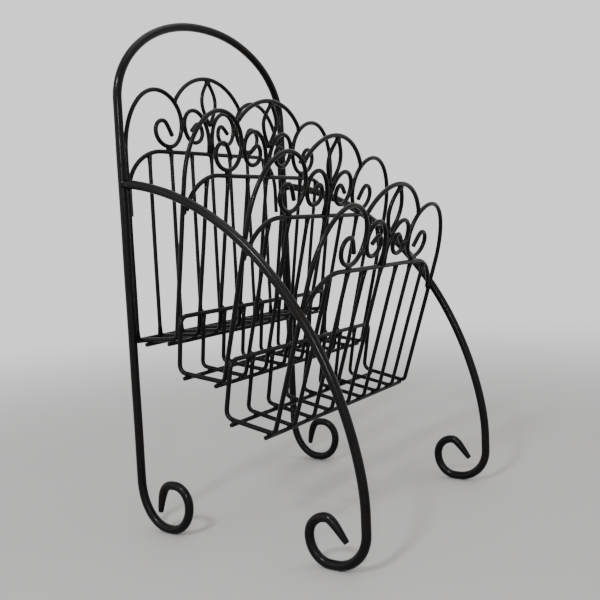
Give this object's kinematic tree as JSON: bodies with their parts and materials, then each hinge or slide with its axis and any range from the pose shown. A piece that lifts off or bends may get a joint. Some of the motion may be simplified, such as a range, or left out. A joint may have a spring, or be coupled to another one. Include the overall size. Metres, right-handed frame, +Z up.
{
  "type": "newspaper rack",
  "caption": "Black welded wire rack for newspapers and magazines: tall arched back, bowed front legs with scrolled feet, and stepped pockets between panels with scrollwork crests.",
  "frame": {"origin": "on the ground, at the centre of the rack's footprint", "axes": "+Z up, -Y is the front that the pockets step down to, +X is to the right for someone facing the front"},
  "size_m": [0.2614, 0.2418, 0.4737],
  "materials": {
    "black_paint": "satin black paint over steel rod, with worn brown edges"
  },
  "bodies": {
    "root": {"back_arch": "black_paint", "back_pocket_back_cross_wire": "black_paint", "back_pocket_front_cross_wire": "black_paint", "front_leg_left": "black_paint", "front_leg_right": "black_paint", "front_pocket_back_cross_wire": "black_paint", "front_pocket_front_cross_wire": "black_paint", "front_pocket_hoop": "black_paint", "middle_pocket_back_cross_wire": "black_paint", "middle_pocket_front_cross_wire": "black_paint", "middle_pocket_hoop": "black_paint", "panel_1_grille": "black_paint", "panel_1_leaf": "black_paint", "panel_1_middle_arch": "black_paint", "panel_1_side_wire_left": "black_paint", "panel_1_side_wire_right": "black_paint", "panel_1_volute_left": "black_paint", "panel_1_volute_right": "black_paint", "panel_2_bar_1": "black_paint", "panel_2_bar_2": "black_paint", "panel_2_bar_3": "black_paint", "panel_2_bar_4": "black_paint", "panel_2_bar_5": "black_paint", "panel_2_bar_6": "black_paint", "panel_2_bar_7": "black_paint", "panel_2_leaf": "black_paint", "panel_2_middle_arch": "black_paint", "panel_2_side_wire_left": "black_paint", "panel_2_side_wire_right": "black_paint", "panel_2_top_rail": "black_paint", "panel_2_volute_left": "black_paint", "panel_2_volute_right": "black_paint", "panel_3_bar_1": "black_paint", "panel_3_bar_2": "black_paint", "panel_3_bar_3": "black_paint", "panel_3_bar_4": "black_paint", "panel_3_bar_5": "black_paint", "panel_3_bar_6": "black_paint", "panel_3_bar_7": "black_paint", "panel_3_leaf": "black_paint", "panel_3_middle_arch": "black_paint", "panel_3_side_wire_left": "black_paint", "panel_3_side_wire_right": "black_paint", "panel_3_top_rail": "black_paint", "panel_3_volute_left": "black_paint", "panel_3_volute_right": "black_paint", "panel_4_bar_1": "black_paint", "panel_4_bar_2": "black_paint", "panel_4_bar_3": "black_paint", "panel_4_bar_4": "black_paint", "panel_4_bar_5": "black_paint", "panel_4_bar_6": "black_paint", "panel_4_bar_7": "black_paint", "panel_4_leaf": "black_paint", "panel_4_middle_arch": "black_paint", "panel_4_side_wire_left": "black_paint", "panel_4_side_wire_right": "black_paint", "panel_4_top_rail": "black_paint", "panel_4_volute_left": "black_paint", "panel_4_volute_right": "black_paint"}
  },
  "joints": []
}
